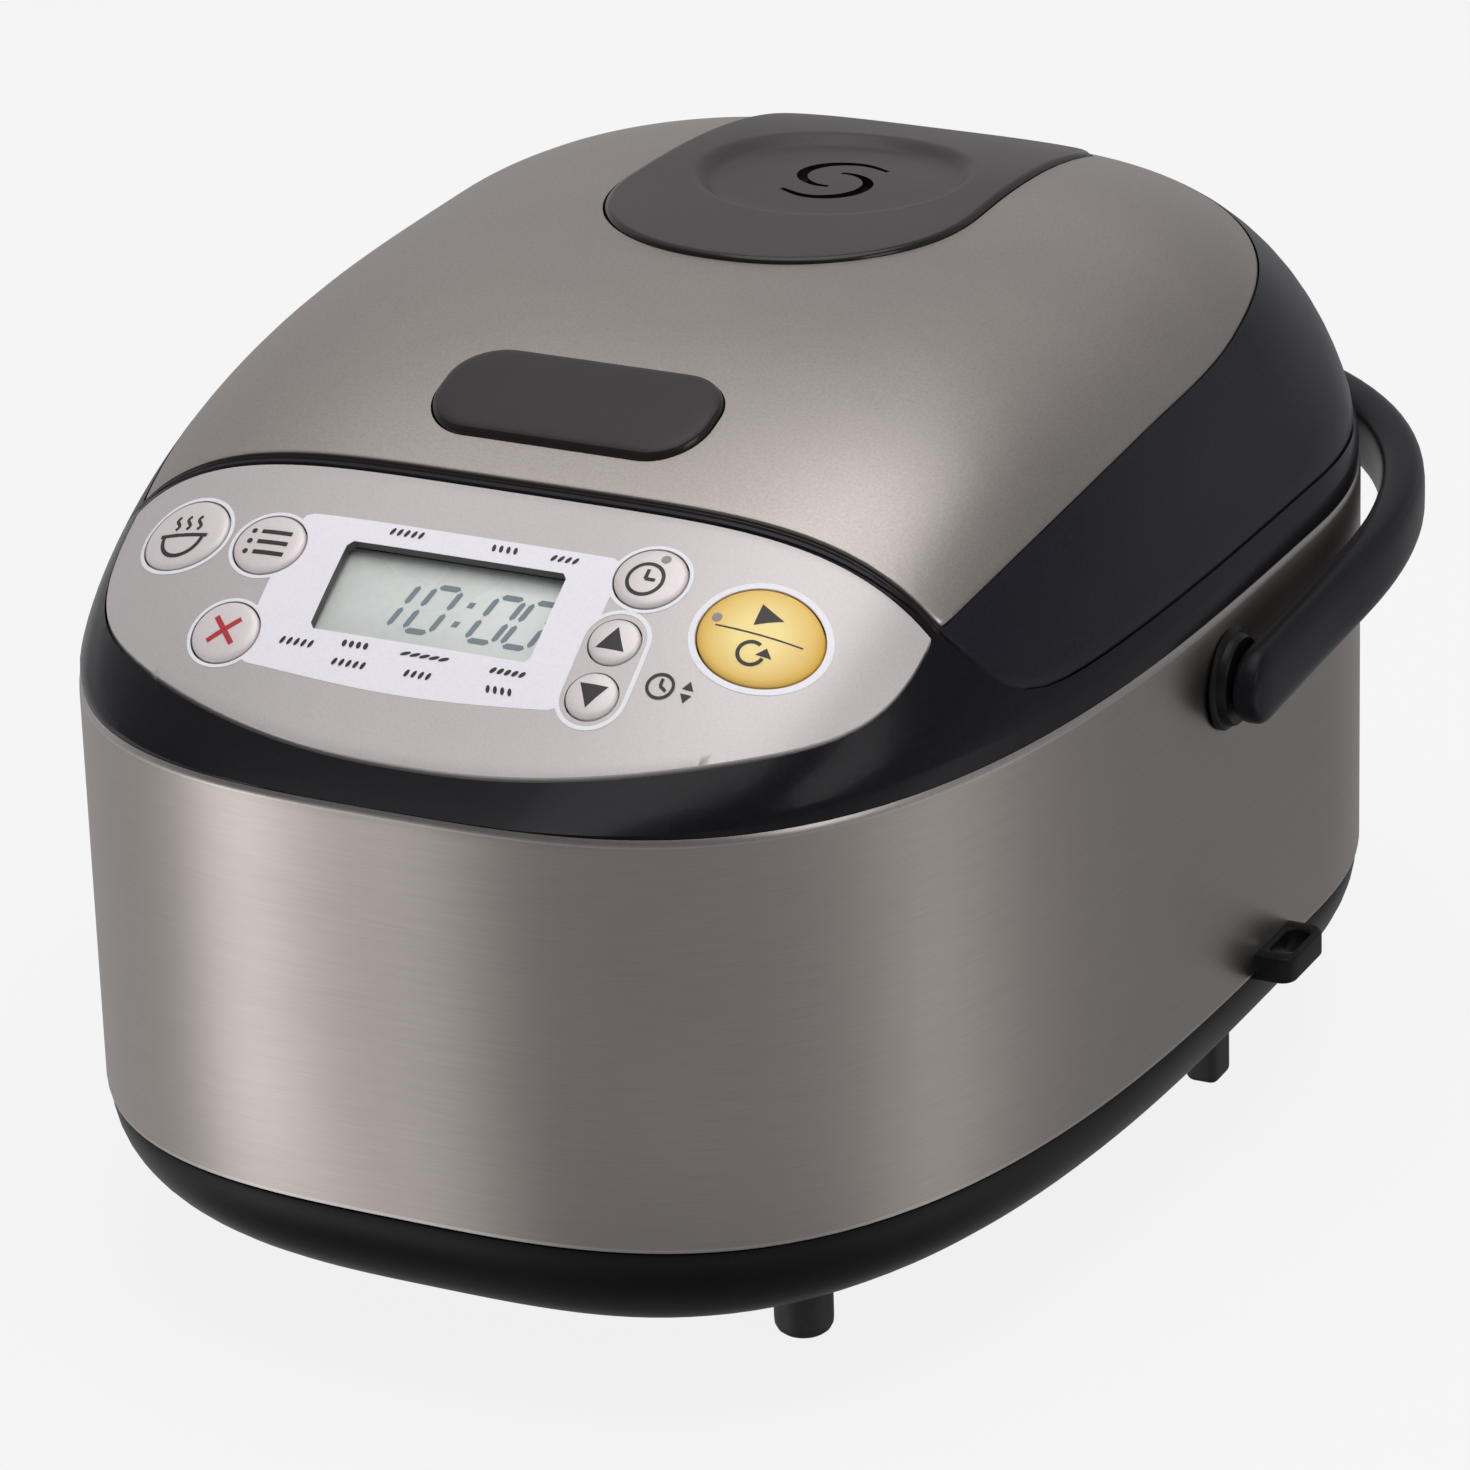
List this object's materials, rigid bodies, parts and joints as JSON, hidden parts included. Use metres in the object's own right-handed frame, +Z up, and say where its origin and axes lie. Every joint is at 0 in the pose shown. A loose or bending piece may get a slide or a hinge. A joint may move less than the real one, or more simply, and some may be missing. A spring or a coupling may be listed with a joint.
{
  "type": "rice cooker",
  "caption": "Domed micom rice cooker with hinged lid, push-button latch, lift-off steam cap, tilted control panel with display and keys, fold-back carry handle and inner pot.",
  "frame": {"origin": "centre of the bounding box at the ground under the feet", "axes": "+Z up, -Y towards the control panel, +X towards the right-hand side seen from the front"},
  "size_m": [0.2318, 0.3008, 0.1839],
  "materials": {
    "brushed_steel": "brushed",
    "satin_steel": "satin",
    "gloss_black": "gloss",
    "satin_dark": "satin",
    "base_black": "satin",
    "handle_black": "satin",
    "black_rubber": "matte",
    "brown_plastic": "satin",
    "trim_brown": "gloss",
    "panel_silver": "satin",
    "key_silver": "satin",
    "key_yellow": "satin",
    "display_window": "gloss",
    "display_glass": "gloss",
    "board_green": "satin",
    "zinc_steel": "satin",
    "spring_steel": "satin",
    "grey_plastic": "satin",
    "white_plastic": "satin",
    "aluminium": "satin",
    "nonstick_dark": "non-stick coating",
    "silicone_grey": "matte",
    "foil_heater": "satin",
    "nickel_brass": "plated"
  },
  "bodies": {
    "body_base": {"outer_shell": "brushed_steel", "base_housing": "base_black", "bottom_cover": "zinc_steel", "cover_screw_1": "zinc_steel", "cover_screw_2": "zinc_steel", "cover_screw_3": "zinc_steel", "cover_screw_4": "zinc_steel", "front_foot_l": "black_rubber", "front_foot_r": "black_rubber", "rear_foot_l": "black_rubber", "rear_foot_r": "black_rubber", "handle_boss_l": "base_black", "handle_boss_r": "base_black", "handle_pin_l": "zinc_steel", "handle_pin_r": "zinc_steel", "spatula_loop": "base_black", "upper_frame": "gloss_black", "control_panel": "panel_silver", "display_window": "display_window", "display_module": "display_glass", "control_board": "board_green", "hinge_pin": "zinc_steel", "hinge_spring": "spring_steel", "inner_pot": "nonstick_dark", "collar_ring": "satin_steel", "inner_liner": "aluminium", "heating_plate": "aluminium", "side_heater": "silicone_grey", "sensor_spring": "spring_steel", "sensor_bracket": "zinc_steel", "thermal_fuse": "white_plastic", "power_board": "board_green", "inlet_socket": "base_black", "inlet_terminals": "nickel_brass"},
    "lid": {"lid_frame": "satin_dark", "lid_skin": "satin_steel", "lid_trim": "trim_brown", "lid_liner": "grey_plastic", "button_spring": "spring_steel", "inner_lid": "aluminium", "inner_lid_gasket": "silicone_grey", "lid_heater": "foil_heater", "lid_sensor": "zinc_steel", "steam_well": "white_plastic"},
    "button": {"lid_button": "brown_plastic"},
    "latch": {"latch_hook": "white_plastic"},
    "cap": {"steam_cap": "brown_plastic"},
    "carry_handle": {"handle": "handle_black"},
    "pot_sensor": {"centre_sensor": "aluminium"},
    "key_keep_warm_body": {"key_keep_warm": "key_silver"},
    "key_menu_body": {"key_menu": "key_silver"},
    "key_cancel_body": {"key_cancel": "key_silver"},
    "key_timer_body": {"key_timer": "key_silver"},
    "key_start_body": {"key_start": "key_yellow"},
    "key_up_body": {"key_up": "key_silver"},
    "key_down_body": {"key_down": "key_silver"}
  },
  "joints": [
    {"name": "lid_hinge", "type": "hinge", "parent": "body_base", "child": "lid", "pos_m": [0, 0.1302, 0.1345], "axis": [-1, 0, 0], "range_deg": [0, 85]},
    {"name": "handle_pivot", "type": "hinge", "parent": "body_base", "child": "carry_handle", "pos_m": [0, -0.002, 0.1085], "axis": [1, 0, 0], "range_deg": [0, 90]},
    {"name": "button_press", "type": "slide", "parent": "lid", "child": "button", "axis": [0, 0, -1], "range_m": [0, 0.0025], "stiffness_N_per_m": 900, "springref_m": -0.001, "deforming": ["button_spring"]},
    {"name": "latch_slide", "type": "slide", "parent": "lid", "child": "latch", "axis": [0, 1, 0], "range_m": [0, 0.002]},
    {"name": "cap_lift", "type": "slide", "parent": "lid", "child": "cap", "axis": [0, 0, 1], "range_m": [0, 0.03]},
    {"name": "sensor_press", "type": "slide", "parent": "body_base", "child": "pot_sensor", "axis": [0, 0, -1], "range_m": [0, 0.003], "stiffness_N_per_m": 400, "springref_m": -0.0015, "deforming": ["sensor_spring"]},
    {"name": "press_keep_warm", "type": "slide", "parent": "body_base", "child": "key_keep_warm_body", "axis": [0, 0.515, -0.8572], "range_m": [0, 0.0006], "stiffness_N_per_m": 1500, "springref_m": -0.0003},
    {"name": "press_menu", "type": "slide", "parent": "body_base", "child": "key_menu_body", "axis": [0, 0.515, -0.8572], "range_m": [0, 0.0006], "stiffness_N_per_m": 1500, "springref_m": -0.0003},
    {"name": "press_cancel", "type": "slide", "parent": "body_base", "child": "key_cancel_body", "axis": [0, 0.515, -0.8572], "range_m": [0, 0.0006], "stiffness_N_per_m": 1500, "springref_m": -0.0003},
    {"name": "press_timer", "type": "slide", "parent": "body_base", "child": "key_timer_body", "axis": [0, 0.515, -0.8572], "range_m": [0, 0.0006], "stiffness_N_per_m": 1500, "springref_m": -0.0003},
    {"name": "press_start", "type": "slide", "parent": "body_base", "child": "key_start_body", "axis": [0, 0.515, -0.8572], "range_m": [0, 0.0006], "stiffness_N_per_m": 1500, "springref_m": -0.0003},
    {"name": "press_up", "type": "slide", "parent": "body_base", "child": "key_up_body", "axis": [0, 0.515, -0.8572], "range_m": [0, 0.0006], "stiffness_N_per_m": 1500, "springref_m": -0.0003},
    {"name": "press_down", "type": "slide", "parent": "body_base", "child": "key_down_body", "axis": [0, 0.515, -0.8572], "range_m": [0, 0.0006], "stiffness_N_per_m": 1500, "springref_m": -0.0003}
  ],
  "couplings": [
    {"joint": "latch_slide", "follows": "button_press", "ratio": 0.8}
  ]
}
